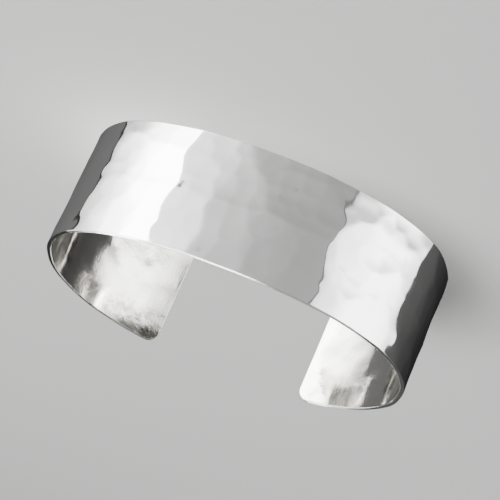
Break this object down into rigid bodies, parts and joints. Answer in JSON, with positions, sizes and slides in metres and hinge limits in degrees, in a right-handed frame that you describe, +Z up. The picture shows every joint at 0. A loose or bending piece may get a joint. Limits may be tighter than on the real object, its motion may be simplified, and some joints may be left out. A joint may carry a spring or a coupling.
{
  "type": "cuff bracelet",
  "caption": "Wide open cuff bracelet: a polished, lightly planished silver strip bent into an oval, with plain rounded ends and a gap at the front.",
  "frame": {"origin": "on the surface it lies on, under the middle of the oval", "axes": "+X across the oval (its long way), +Y towards the closed back, -Y out of the opening between the ends, +Z up through the wrist hollow"},
  "size_m": [0.0621, 0.048, 0.0204],
  "materials": {
    "silver": "mirror-polished planished silver"
  },
  "bodies": {
    "root": {"cuff_band": "silver"}
  },
  "joints": []
}
